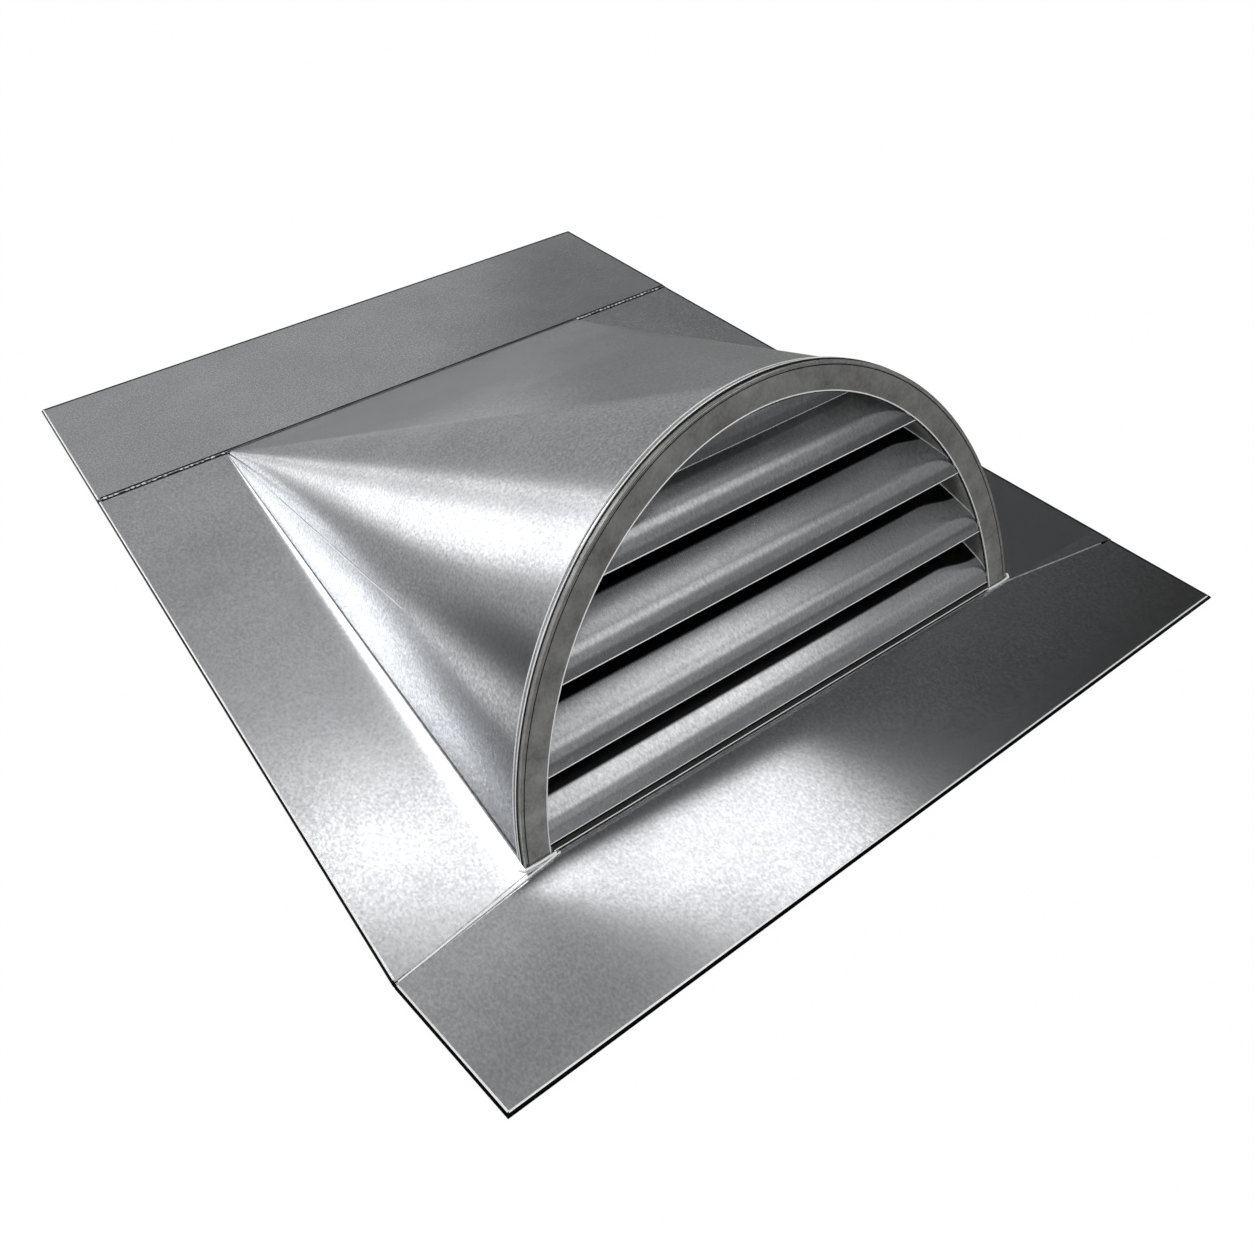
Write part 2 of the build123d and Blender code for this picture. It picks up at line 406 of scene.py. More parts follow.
finishes = {
    "flashing_sheet": sheetFinish("flashingSheet", flashingLook),
    "hood_sheet": sheetFinish("hoodSheet", hoodLook),
    "frame_sheet": sheetFinish("frameSheet", frameLook),
    "louver_sheet": sheetFinish("louverSheet", louverLook),
}
for height, (blade, shade) in zip(blades["heights"], bladeShades.items()):
    finishes[blade] = sheetFinish(
        blade + "Sheet", dict(louverLook, throat=dict(shade, height=height))
    )
paintedHighlightFinish = sheetFinish("paintedHighlight", paintedHighlightLook)
shadeFinish = sheetFinish("shadedGap", shadeLook)
slotOf = {row["node"]: row["material_slot"] for row in frame["record"]["subparts"]}


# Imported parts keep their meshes: merged and smoothed by modifiers only
sheetEdges = {
    "weld": 0.00001,
    "bend": 0.00045,
    "bendAngle": math.radians(35),
    "crispAngle": math.radians(40),
}


def dressPart(name, node):
    node.data.materials.clear()
    node.data.materials.append(finishes.get(name, finishes[slotOf[name]]))
    for polygon in node.data.polygons:
        polygon.use_smooth = True
    weld = node.modifiers.new("weld", "WELD")
    weld.merge_threshold = sheetEdges["weld"]
    if name == "face_frame" or name.startswith("louver"):
        roll = node.modifiers.new("bentEdges", "BEVEL")
        roll.width = sheetEdges["bend"]
        roll.segments = 3
        roll.limit_method = "ANGLE"
        roll.angle_limit = sheetEdges["bendAngle"]
        roll.harden_normals = False
    split = node.modifiers.new("crispEdges", "EDGE_SPLIT")
    split.split_angle = sheetEdges["crispAngle"]


for name, node in frame["nodes"].items():
    dressPart(name, node)
print("packed parts dressed")


# Pieces grown by node trees: every size is a named input, and the result is kept as a plain mesh

def newGeometryTree(name, sizes):
    tree = bpy.data.node_groups.new(name, "GeometryNodeTree")
    tree.interface.new_socket("Geometry", in_out="INPUT", socket_type="NodeSocketGeometry")
    for label, value in sizes.items():
        kind = "NodeSocketInt" if isinstance(value, int) else "NodeSocketFloat"
        tree.interface.new_socket(label, in_out="INPUT", socket_type=kind).default_value = value
    tree.interface.new_socket("Material", in_out="INPUT", socket_type="NodeSocketMaterial")
    tree.interface.new_socket("Geometry", in_out="OUTPUT", socket_type="NodeSocketGeometry")
    return tree, tree.nodes.new("NodeGroupInput").outputs


def closeGeometryTree(tree, geometry, entry):
    real = addNode(tree, "GeometryNodeRealizeInstances", {0: geometry})
    painted = addNode(
        tree, "GeometryNodeSetMaterial",
        {"Geometry": real.outputs[0], "Material": entry["Material"]},
    )
    addNode(tree, "NodeGroupOutput", {0: painted.outputs[0]})


def growPiece(name, tree, sizes, finish, seed=None):
    source = seed or bpy.data.objects.new(name + "Seed", bpy.data.meshes.new(name + "Seed"))
    if source.name not in scene.collection.objects:
        scene.collection.objects.link(source)
    grow = source.modifiers.new("grow", "NODES")
    grow.node_group = tree
    given = dict(sizes, Material=finish)
    for item in tree.interface.items_tree:
        if item.in_out == "INPUT" and item.name in given:
            grow[item.identifier] = given[item.name]
    graph = bpy.context.evaluated_depsgraph_get()
    mesh = bpy.data.meshes.new_from_object(source.evaluated_get(graph))
    bpy.data.objects.remove(source)
    mesh.name = name
    piece = bpy.data.objects.new(name, mesh)
    scene.collection.objects.link(piece)
    for polygon in mesh.polygons:
        polygon.use_smooth = True
    return piece


def settle(piece):
    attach(piece, "root")
    return piece


def pathSeed(name, lines):
    curve = bpy.data.curves.new(name, "CURVE")
    curve.dimensions = "3D"
    for line in lines:
        spline = curve.splines.new("POLY")
        spline.points.add(len(line) - 1)
        for point, place in zip(spline.points, line):
            point.co = (*place, 1.0)
    return bpy.data.objects.new(name, curve)


# Hood: two oblique half-cones and the flat triangle between them, from the arch to a low straight
# back edge
hoodSizes = {
    "Half width": face["halfWidth"],
    "Arch wide": archWide,
    "Arch high": archHigh,
    "Arch drop": face["drop"],
    "Crown half": 0.001,
    "Foot Y": face["footY"],
    "Level": face["level"],
    "Tilt": face["tilt"],
    "Length": 0.601,
    "Back half width": 0.2085,
    "Back corner": 0.0014,
    "Crease angle": 0.39,
    "Crease depth": 0.0007,
    "Wave height": 0.0005,
    "Across": 242,
    "Along": 61,
}
hoodThickness = 0.0008


def hoodTree():
    tree, size = newGeometryTree("hoodForm", hoodSizes)

    def m(operation, a, b=0.0):
        return mathNode(tree, operation, a, b)

    grid = addNode(
        tree, "GeometryNodeMeshGrid",
        {"Size X": 1.0, "Size Y": 1.0, "Vertices X": size["Across"], "Vertices Y": size["Along"]},
    )
    gridX, gridY, _ = splitVector(tree, tree.nodes.new("GeometryNodeInputPosition").outputs[0])
    count = joinVector(tree, m("ADD", gridX, 0.5), m("ADD", gridY, 0.5))
    marked = addNode(
        tree, "GeometryNodeStoreNamedAttribute",
        {"Geometry": grid.outputs["Mesh"], "Name": "fan"}, data_type="FLOAT2", domain="CORNER",
    )
    tree.links.new(count, marked.inputs["Value"])
    stored = addNode(
        tree, "GeometryNodeInputNamedAttribute", {"Name": "fan"}, data_type="FLOAT_VECTOR"
    )
    across, along, _ = splitVector(tree, stored.outputs[0])
    side = m("SUBTRACT", m("MULTIPLY", m("GREATER_THAN", across, 0.5), 2.0), 1.0)
    halfGap = m("DIVIDE", 0.5, m("SUBTRACT", size["Across"], 1.0))
    climb = m(
        "DIVIDE", m("MINIMUM", across, m("SUBTRACT", 1.0, across)), m("SUBTRACT", 0.5, halfGap)
    )
    footTurn = m("ARCSINE", m("DIVIDE", size["Arch drop"], size["Arch high"]))
    turn = m("ADD", footTurn, m("MULTIPLY", climb, m("SUBTRACT", math.pi / 2, footTurn)))
    cosine, sine = m("COSINE", turn), m("SINE", turn)
    share = m("DIVIDE", size["Back corner"], size["Half width"])
    bodyHalf = m("SUBTRACT", size["Half width"], size["Crown half"])
    backMiddle = m("SUBTRACT", size["Back half width"], m("MULTIPLY", share, bodyHalf))
    sweep = m("MULTIPLY", m("SUBTRACT", size["Arch wide"], size["Crown half"]), cosine)
    frontX = m("ADD", size["Crown half"], sweep)
    backX = m("ADD", backMiddle, m("MULTIPLY", sweep, share))
    frontUp = m("SUBTRACT", m("MULTIPLY", size["Arch high"], sine), size["Arch drop"])
    keep = m("SUBTRACT", 1.0, along)
    x = m("MULTIPLY", side, m("ADD", m("MULTIPLY", frontX, keep), m("MULTIPLY", backX, along)))
    up = m("MULTIPLY", frontUp, m("ADD", keep, m("MULTIPLY", share, along)))
    foot = m("ADD", size["Foot Y"], m("MULTIPLY", size["Length"], along))
    y = m("ADD", foot, m("MULTIPLY", up, m("SINE", size["Tilt"])))
    z = m("ADD", size["Level"], m("MULTIPLY", up, m("COSINE", size["Tilt"])))
    spot = joinVector(tree, x, y, z)
    formed = addNode(
        tree, "GeometryNodeSetPosition", {"Geometry": marked.outputs[0], "Position": spot}
    )

    # a soft crease low on each side and slow waves, as hand-bent sheet has; both fade at the edges
    footFade = m("MINIMUM", m("MULTIPLY", climb, 5.0), 1.0)
    edgeFade = m("MULTIPLY", m("SINE", m("MULTIPLY", along, math.pi)), footFade)
    fromCrease = m("ABSOLUTE", m("SUBTRACT", turn, m("ADD", footTurn, size["Crease angle"])))
    creaseShape = m("SUBTRACT", 1.0, m("MINIMUM", m("MULTIPLY", fromCrease, 5.0), 1.0))
    crease = m("MULTIPLY", m("MULTIPLY", size["Crease depth"], creaseShape), m("POWER", along, 1.5))
    waveTurn = m("MULTIPLY", side, m("ADD", 3.0, m("MULTIPLY", turn, 2.4)))
    wavePlace = joinVector(tree, waveTurn, m("MULTIPLY", along, 1.2), 4.0)
    waveNoise = {"Vector": wavePlace, "Scale": 1.0, "Detail": 1.0}
    swellings = addNode(tree, "ShaderNodeTexNoise", waveNoise).outputs["Fac"]
    wave = m("MULTIPLY", size["Wave height"], m("SUBTRACT", swellings, 0.5))
    inward = m("MULTIPLY", edgeFade, m("SUBTRACT", wave, crease))
    offset = scaleVector(tree, tree.nodes.new("GeometryNodeInputNormal").outputs[0], inward)
    bent = addNode(
        tree, "GeometryNodeSetPosition", {"Geometry": formed.outputs[0], "Offset": offset}
    )
    closeGeometryTree(tree, bent.outputs[0], size)
    return tree


hoodShell = growPiece("hoodShell", hoodTree(), hoodSizes, finishes["hood_sheet"])
settle(hoodShell)
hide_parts("hood")
wall = hoodShell.modifiers.new("wall", "SOLIDIFY")
wall.thickness = hoodThickness
wall.offset = -1.0
wall.use_rim = True
print("hood formed")


# Point on the hood's outer face: side -1 or 1, turn round the arch from its foot, and share of the
# way back
def onHood(side, turn, back):
    crown = hoodSizes["Crown half"]
    corner = hoodSizes["Back corner"] / face["halfWidth"]
    sweep = (archWide - crown) * math.cos(turn)
    middle = hoodSizes["Back half width"] - corner * (face["halfWidth"] - crown)
    x = (crown + sweep) * (1 - back) + (middle + sweep * corner) * back
    up = (archHigh * math.sin(turn) - face["drop"]) * (1 - back + corner * back)
    y = face["footY"] + hoodSizes["Length"] * back + up * math.sin(face["tilt"])
    return side * x, y, face["level"] + up * math.cos(face["tilt"])


# Round beads swept along lines: solder, rolled edges and folded rims
beadSizes = {
    "Radius": 0.001,
    "Swell": 0.0,
    "Swell scale": 60.0,
    "Wander": 0.0,
    "Wander scale": 25.0,
    "Spacing": 0.004,
    "Sides": 8,
}


def evenPoints(tree, size):
    spaced = {"Curve": size["Geometry"], "Length": size["Spacing"]}
    return addNode(tree, "GeometryNodeResampleCurve", spaced, mode="LENGTH").outputs[0]


def beadTree():
    tree, size = newGeometryTree("beadAlongPath", beadSizes)
    lines = evenPoints(tree, size)
    place = tree.nodes.new("GeometryNodeInputPosition").outputs[0]
    driftNoise = {"Vector": place, "Scale": size["Wander scale"], "Detail": 1.0}
    drift = addNode(tree, "ShaderNodeTexNoise", driftNoise).outputs["Color"]
    centred = vectorNode(tree, "SUBTRACT", drift, (0.5, 0.5, 0.5))
    level = vectorNode(tree, "MULTIPLY", centred, (1.0, 1.0, 0.0))
    offset = scaleVector(tree, level, size["Wander"])
    strayed = addNode(tree, "GeometryNodeSetPosition", {"Geometry": lines, "Offset": offset})
    lumpNoise = {"Vector": place, "Scale": size["Swell scale"], "Detail": 2.0}
    lumps = addNode(tree, "ShaderNodeTexNoise", lumpNoise).outputs["Fac"]
    twice = mathNode(tree, "MULTIPLY", size["Swell"], 2.0)
    swell = mathNode(tree, "MULTIPLY", mathNode(tree, "SUBTRACT", lumps, 0.5), twice)
    thick = mathNode(tree, "ADD", 1.0, swell)
    ringSizes = {"Resolution": size["Sides"], "Radius": size["Radius"]}
    profile = addNode(tree, "GeometryNodeCurvePrimitiveCircle", ringSizes).outputs[0]
    swept = addNode(
        tree, "GeometryNodeCurveToMesh",
        {"Curve": strayed.outputs[0], "Profile Curve": profile, "Scale": thick, "Fill Caps": True},
    )
    closeGeometryTree(tree, swept.outputs[0], size)
    return tree


beadForm = beadTree()


def layBead(name, lines, slotName, finish=None, **changes):
    finish = finish or finishes[slotName]
    piece = growPiece(
        name, beadForm, dict(beadSizes, **changes), finish, pathSeed(name + "Path", lines)
    )
    return settle(piece)


# Thin creases in the hood's sides, beads with painted highlight, from the back corners forward:
# each step is a turn from the foot and a share of the way back
creases = {
    "left": [(0.39, 0.97 - 0.035 * i) for i in range(20)],
    "right": [(0.17, 0.875), (0.40, 0.75), (0.60, 0.62), (0.68, 0.52), (0.74, 0.42), (0.79, 0.31)],
    "radius": 0.00035,
}
footTurn = math.asin(face["drop"] / archHigh)
creaseLines = []
for side, word in ((-1, "left"), (1, "right")):
    creaseLines.append([onHood(side, footTurn + turn, back) for turn, back in creases[word]])
layBead(
    "hoodCreases", creaseLines, "hood_sheet", paintedHighlightFinish,
    Radius=creases["radius"], Swell=0.5, Wander=0.0008, Spacing=0.004,
)


# Lines over the arch, from the hood's hem to the opening: folds with painted highlight and painted
# shade in the gaps between them
ring = face["ring"]
rims = {
    "hoodHemBack": {"inset": -0.0006, "depth": 0.0100, "radius": 0.0005, "finish": paintedHighlightFinish},
    "hoodHemFront": {"inset": -0.0010, "depth": 0.0058, "radius": 0.0006, "finish": paintedHighlightFinish},
    "rimGap": {"inset": -0.0008, "depth": 0.0043, "radius": 0.0008, "finish": shadeFinish},
    "frameRim": {"inset": -0.0001, "depth": 0.0008, "radius": 0.0008, "finish": paintedHighlightFinish},
    "frameCrease": {"inset": 0.0017, "depth": 0.0002, "radius": 0.00045, "finish": shadeFinish},
    "openingRim": {"inset": ring - 0.0002, "depth": 0.0002, "radius": 0.0005, "finish": paintedHighlightFinish},
    "openingShade": {
        "inset": ring + 0.0006, "depth": 0.0016, "radius": 0.0005, "finish": shadeFinish,
    },
}
for name, rim in rims.items():
    layBead(
        name, [archLine(rim["inset"], rim["depth"], foot=rim["radius"])],
        "hood_sheet" if name.startswith("hood") else "frame_sheet", rim["finish"],
        Radius=rim["radius"], Spacing=0.0035,
    )


def straightLine(start, end, steps=24):
    return [tuple(a + (b - a) * i / steps for a, b in zip(start, end)) for i in range(steps + 1)]


# Lips of the blades: a thin fold with painted highlight below each, from ring to ring
def lipLine(height):
    half = archHalf(height, face["ring"]) - blades["foldEnd"]
    depth = blades["setback"] + blades["foldDepth"]
    return straightLine(onFace(-half, height, depth), onFace(half, height, depth), 60)


lipLines = [
    lipLine(height - blades["lipHalf"] - blades["foldDrop"]) for height in blades["heights"][1:]
]
layBead("lipFolds", lipLines, "louver_sheet", paintedHighlightFinish, Radius=blades["foldRadius"], Spacing=0.01)
crownLine = lipLine(blades["heights"][0] - blades["lipHalf"] - blades["crownFoldDrop"])
layBead("crownFold", [crownLine], "louver_sheet", Radius=blades["crownFoldRadius"], Spacing=0.01)


# Foot of the sill, where it meets the apron: a bead with painted highlight
sillFoot = {"half": 0.208, "height": 0.0008, "proud": 0.0004, "radius": 0.0004}
sillEnds = [
    onFace(side * sillFoot["half"], sillFoot["height"], -sillFoot["proud"]) for side in (-1, 1)
]
sillLine = straightLine(*sillEnds)
layBead("sillFoot", [sillLine], "frame_sheet", paintedHighlightFinish, Radius=sillFoot["radius"], Spacing=0.01)


# Blade profile where it meets the web, on one side: up over the roll and along the run
def bladeEnd(side, height, steps=10):
    lean = face["tilt"]
    start = onFace(0.0, height + blades["lipHalf"], blades["setback"])
    inward = Vector((0.0, math.cos(lean), -math.sin(lean)))
    centre = start + inward * blades["rollRadius"]
    points = []
    for i in range(steps + 1):
        slope = math.pi / 2 - lean + (blades["runRise"] - math.pi / 2 + lean) * i / steps
        points.append(
            centre + Vector((0.0, -math.sin(slope), math.cos(slope))) * blades["rollRadius"]
        )
    along = Vector((0.0, math.cos(blades["runRise"]), math.sin(blades["runRise"])))
    points += [points[-1] + along * blades["run"] * (i + 1) / 8 for i in range(8)]
    line = []
    for point in points:
        up = (point.y - face["footY"]) * math.sin(lean) + (point.z - face["level"]) * math.cos(lean)
        half = archHalf(up, face["ring"])
        if half > 0.01:
            line.append((side * (half - blades["endGap"]), point.y, point.z + blades["endGap"]))
    return line


endLines = [bladeEnd(side, height) for height in blades["heights"][1:] for side in (-1, 1)]
layBead(
    "bladeEndSolder", endLines, "louver_sheet",
    Radius=blades["endRadius"], Swell=0.3, Spacing=0.002,
)


# Solder along the left lap and round the feet of the ring, with painted highlight
lapBead = {"outer": (-0.333, -0.3624, 0.0042), "inner": (-0.205, -0.3432, 0.0042), "radius": 0.0007}
layBead(
    "lapSolder", [straightLine(lapBead["outer"], lapBead["inner"])], "flashing_sheet", paintedHighlightFinish,
    Radius=lapBead["radius"], Swell=0.5, Wander=0.0018, Spacing=0.002,
)
footBead = {
    "path": (
        (0.2345, -0.3385, 0.0044), (0.2320, -0.3422, 0.0048),
        (0.2200, -0.3428, 0.0048), (0.2075, -0.3424, 0.0048),
    ),
    "radius": 0.0011,
}
for side, word in ((-1, "Left"), (1, "Right")):
    foot = [(side * x, y, z) for x, y, z in footBead["path"]]
    layBead(
        "footSolder" + word, [foot], "frame_sheet", paintedHighlightFinish,
        Radius=footBead["radius"], Swell=0.6, Wander=0.0010, Spacing=0.0015,
    )


# Head seam: two lines of painted shade over its whole width, with a bead between them behind the
# hood
headSeam = {
    "y": 0.2606,
    "lines": {"headSeamGap": (-0.0014, 0.0043), "headSeamGroove": (0.0028, 0.0051)},
    "lineHalf": 0.333,
    "lineRadius": 0.0008,
    "beadHalf": 0.2085,
    "beadBack": -0.0008,
    "beadLevel": 0.0053,
    "beadRadius": 0.0006,
    "tickBacks": (-0.0004, 0.0010),
    "tickLevel": 0.005,
    "tickReach": (0.212, 0.329),
}


def acrossSeam(half, back, level, steps=24):
    y = headSeam["y"] + back
    return straightLine((-half, y, level), (half, y, level), steps)


for name, (back, level) in headSeam["lines"].items():
    layBead(
        name, [acrossSeam(headSeam["lineHalf"], back, level)], "flashing_sheet", shadeFinish,
        Radius=headSeam["lineRadius"], Swell=0.3, Wander=0.0005, Spacing=0.004,
    )
beadLine = acrossSeam(headSeam["beadHalf"], headSeam["beadBack"], headSeam["beadLevel"], 60)
layBead(
    "headSolder", [beadLine], "flashing_sheet",
    Radius=headSeam["beadRadius"], Swell=0.3, Wander=0.0006, Spacing=0.003,
)


# Rolled edge round the flashing, a little proud of each sheet; one line per straight edge
edgeRoll = {
    "radius": 0.0009,
    "farRadius": 0.0012,
    "inset": 0.0022,
    "trim": 0.0022,
    "proud": 0.00025,
}


# Straight edge of the outline, drawn in to the roll's middle line
def edgeLine(start, end, top):
    (x0, y0), (x1, y1) = start, end
    length = math.hypot(x1 - x0, y1 - y0)
    dx, dy = (x1 - x0) / length, (y1 - y0) / length
    inX, inY = -dy * edgeRoll["inset"], dx * edgeRoll["inset"]
    trimX, trimY = dx * edgeRoll["trim"], dy * edgeRoll["trim"]
    z = flashing[top] + edgeRoll["proud"] - edgeRoll["radius"]
    return straightLine(
        (x0 + inX + trimX, y0 + inY + trimY, z), (x1 + inX - trimX, y1 + inY - trimY, z)
    )


def rollLines():
    w, back, lapY, headY = (flashing[key] for key in ("halfWidth", "back", "lapY", "headY"))
    left, right = flashing["apronLeft"], flashing["apronRight"]
    edges = [
        ((-w, lapY), left, "apronTop"),
        (left, right, "apronTop"),
        (right, (w, lapY), "apronTop"),
        ((w, lapY), (w, headY), "sideTop"),
        ((w, headY), (w, back), "headTop"),
        ((w, back), (-w, back), "headTop"),
        ((-w, back), (-w, headY), "headTop"),
        ((-w, headY), (-w, lapY), "sideTop"),
    ]
    return [edgeLine(*edge) for edge in edges]


# The near edges carry painted highlight, the far ones painted shade
edgeLines = rollLines()
rollForm = {"Spacing": 0.02, "Sides": 16}
nearEdges, farEdges = edgeLines[:2] + edgeLines[6:], edgeLines[2:6]
layBead(
    "edgeRollNear", nearEdges, "flashing_sheet", paintedHighlightFinish,
    Radius=edgeRoll["radius"], **rollForm,
)
layBead(
    "edgeRollFar", farEdges, "flashing_sheet", shadeFinish,
    Radius=edgeRoll["farRadius"], **rollForm,
)


# Short solder ticks with painted highlight: small flattened drops set along a line, some left out,
# each turned a little
tickSizes = {
    "Spacing": 0.0052,
    "Kept": 0.72,
    "Half length": 0.0021,
    "Half width": 0.0005,
    "Turn": 0.22,
    "Smallest": 0.6,
    "Largest": 1.2,
    "Seed": 7,
}


def randomLevel(tree, low, high, seed):
    limits = {2: low, 3: high, 8: seed}
    return addNode(tree, "FunctionNodeRandomValue", limits, data_type="FLOAT").outputs[1]


def tickTree():
    tree, size = newGeometryTree("ticksAlongPath", tickSizes)
    spots = addNode(
        tree, "GeometryNodeCurveToPoints", {"Curve": evenPoints(tree, size)}, mode="EVALUATED"
    ).outputs[0]
    chance = {6: size["Kept"], 8: size["Seed"]}
    keep = addNode(tree, "FunctionNodeRandomValue", chance, data_type="BOOLEAN").outputs[3]
    drop = addNode(
        tree, "GeometryNodeMeshUVSphere", {"Segments": 12, "Rings": 8, "Radius": 1.0}
    ).outputs[0]
    shape = joinVector(tree, size["Half length"], size["Half width"], size["Half width"])
    small = addNode(tree, "GeometryNodeTransform", {"Geometry": drop, "Scale": shape}).outputs[0]
    back = mathNode(tree, "MULTIPLY", size["Turn"], -1.0)
    aside = randomLevel(tree, back, size["Turn"], mathNode(tree, "ADD", size["Seed"], 1.0))
    turned = joinVector(tree, 0.0, 0.0, aside)
    grown = randomLevel(
        tree, size["Smallest"], size["Largest"], mathNode(tree, "ADD", size["Seed"], 2.0)
    )
    placed = addNode(
        tree, "GeometryNodeInstanceOnPoints",
        {"Points": spots, "Selection": keep, "Instance": small, "Rotation": turned, "Scale": grown},
    )
    closeGeometryTree(tree, placed.outputs[0], size)
    return tree


tickLines = []
for side in (-1, 1):
    for back in headSeam["tickBacks"]:
        y, z = headSeam["y"] + back, headSeam["tickLevel"]
        near, far = headSeam["tickReach"]
        tickLines.append(straightLine((side * near, y, z), (side * far, y, z)))
ticks = growPiece(
    "headTicks", tickTree(), tickSizes, paintedHighlightFinish, pathSeed("headTickPath", tickLines)
)
settle(ticks)
print("rims and seams laid")


# Studio: white world for camera, metal and glass; plain level for everything else

studio = {
    "plainLevel": 0.9,
    "domeRadius": 60.0,
    "domeGrey": 0.415,
    "floorSize": 6.0,
    "floorGrey": 0.8,
    "floorWhite": 0.97,
}


def studioMaterial(name):
    material = bpy.data.materials.new(name)
    material.use_nodes = True
    material.node_tree.nodes.clear()
    return material, material.node_tree


def glowNode(tree, level):
    return addNode(tree, "ShaderNodeEmission", {"Color": grey(1.0), "Strength": level}).outputs[0]


# A card glows on its front only and is clear from behind
def cardSurface(tree, level):
    clear = addNode(tree, "ShaderNodeBsdfTransparent").outputs[0]
    behind = addNode(tree, "ShaderNodeNewGeometry").outputs["Backfacing"]
    mixed = addNode(tree, "ShaderNodeMixShader", {0: behind, 1: glowNode(tree, level), 2: clear})
    addNode(tree, "ShaderNodeOutputMaterial", {0: mixed.outputs[0]})


def flatPiece(name, points, faces, material):
    mesh = bpy.data.meshes.new(name)
    mesh.from_pydata(points, [], faces)
    piece = bpy.data.objects.new(name, mesh)
    piece.data.materials.append(material)
    scene.collection.objects.link(piece)
    return piece


# Hidden from all rays but glossy ones, so that only metal sees it
def stageForMetal(piece, material):
    material.cycles.emission_sampling = "NONE"
    for kind in ("camera", "diffuse", "shadow", "transmission", "volume_scatter"):
        setattr(piece, "visible_" + kind, False)


world = bpy.data.worlds.new("studioWorld")
scene.world = world
world.use_nodes = True
tree = world.node_tree
tree.nodes.clear()
path = addNode(tree, "ShaderNodeLightPath")
seen = mathNode(tree, "MAXIMUM", path.outputs["Is Camera Ray"], path.outputs["Is Glossy Ray"])
seen = mathNode(tree, "MAXIMUM", seen, path.outputs["Is Transmission Ray"])
plain = addNode(
    tree, "ShaderNodeBackground", {"Color": grey(1.0), "Strength": studio["plainLevel"]}
)
white = addNode(tree, "ShaderNodeBackground", {"Color": grey(1.0), "Strength": 1.0})
mixed = addNode(tree, "ShaderNodeMixShader", {0: seen, 1: plain.outputs[0], 2: white.outputs[0]})
addNode(tree, "ShaderNodeOutputWorld", {0: mixed.outputs[0]})


# Light tent round the vent, seen only in its metal: grey cloth with soft boxes and dark flags on
# it. Each card: azimuth and elevation of its middle, roll, half-width and half-height (all in
# degrees), width of its soft edges, and level. A later card covers an earlier one.
tentCards = {
    "groundDark": dict(az=0, el=-89.9, roll=0, wide=56, high=56, soft=10, level=0.06),
    "lowDark": dict(az=36, el=-18, roll=0, wide=20, high=12, soft=9, level=0.22),
    "lowPale": dict(az=16, el=-14, roll=0, wide=9, high=5, soft=7, level=0.55),
    "farLeftLow": dict(az=-88, el=-27, roll=0, wide=28, high=24, soft=4, level=0.04),
    "farLeftBox": dict(az=-76, el=31, roll=0, wide=27, high=30, soft=4, level=0.9),
    "leftGlow": dict(az=-16.5, el=11, roll=0, wide=4.2, high=15, soft=4, level=0.85),
    "leftStrip": dict(az=-13.3, el=12, roll=0, wide=1.3, high=11, soft=1.6, level=1.5),
    "farHigh": dict(az=-44, el=33, roll=0, wide=7, high=14, soft=4, level=0.2),
    "leftBox": dict(az=-26.8, el=17, roll=5, wide=6, high=18, soft=5, level=1.9),
    "leftHigh": dict(az=-27, el=31, roll=5, wide=8, high=10, soft=5, level=3.4),
    "leftFlag": dict(az=-44, el=-7, roll=0, wide=7, high=6, soft=4, level=0.07),
    "footDark": dict(az=-41, el=-33, roll=0, wide=7, high=8, soft=4, level=0.22),
    "footGlow": dict(az=-24.5, el=-31, roll=0, wide=6.5, high=9.5, soft=5, level=2.2),
    "footPale": dict(az=-35.5, el=-19.5, roll=0, wide=8.5, high=3, soft=3, level=1.0),
    "topGlow": dict(az=15, el=50.4, roll=4, wide=9, high=3.7, soft=4, level=0.5),
    "topLeft": dict(az=13, el=52.5, roll=6, wide=10, high=2.3, soft=1.2, level=3.4),
    "topRight": dict(az=44, el=55, roll=0, wide=10, high=5.0, soft=1.5, level=2.8),
    "rightFlag": dict(az=67, el=39, roll=0, wide=20, high=16, soft=7, level=0.05),
    "backDim": dict(az=37.5, el=25.5, roll=0, wide=10, high=8, soft=6, level=0.2),
    "sideFlag": dict(az=103, el=47, roll=0, wide=11, high=10, soft=8, level=0.05),
    "frontDim": dict(az=138, el=18, roll=0, wide=26, high=15, soft=8, level=0.3),
    "frontBox": dict(az=157, el=52, roll=8, wide=20, high=12, soft=12, level=1.4),
    "frontFlag": dict(az=150, el=-18, roll=0, wide=42, high=18, soft=6, level=0.09),
}


# Share of a flat, square-edged card at a direction: 1 on it, 0 off it
def cardShare(tree, direction, card):
    az, el, roll = (math.radians(card[k]) for k in ("az", "el", "roll"))
    middle = Vector((math.sin(az) * math.cos(el), math.cos(az) * math.cos(el), math.sin(el)))
    side = middle.cross(Vector((0, 0, 1))).normalized()
    up = side.cross(middle)
    cardX = side * math.cos(roll) + up * math.sin(roll)
    cardY = up * math.cos(roll) - side * math.sin(roll)
    ahead = alongAxis(tree, direction, middle)
    share = mathNode(tree, "GREATER_THAN", ahead, 0.0)
    for axis, half in ((cardX, card["wide"]), (cardY, card["high"])):
        away = mathNode(
            tree, "ABSOLUTE", mathNode(tree, "DIVIDE", alongAxis(tree, direction, axis), ahead)
        )
        inner = math.tan(math.radians(half - card["soft"] / 2))
        outer = math.tan(math.radians(half + card["soft"] / 2))
        share = mathNode(
            tree, "MULTIPLY", share, spread(tree, away, inner, outer, 1.0, 0.0, smooth=True)
        )
    return share


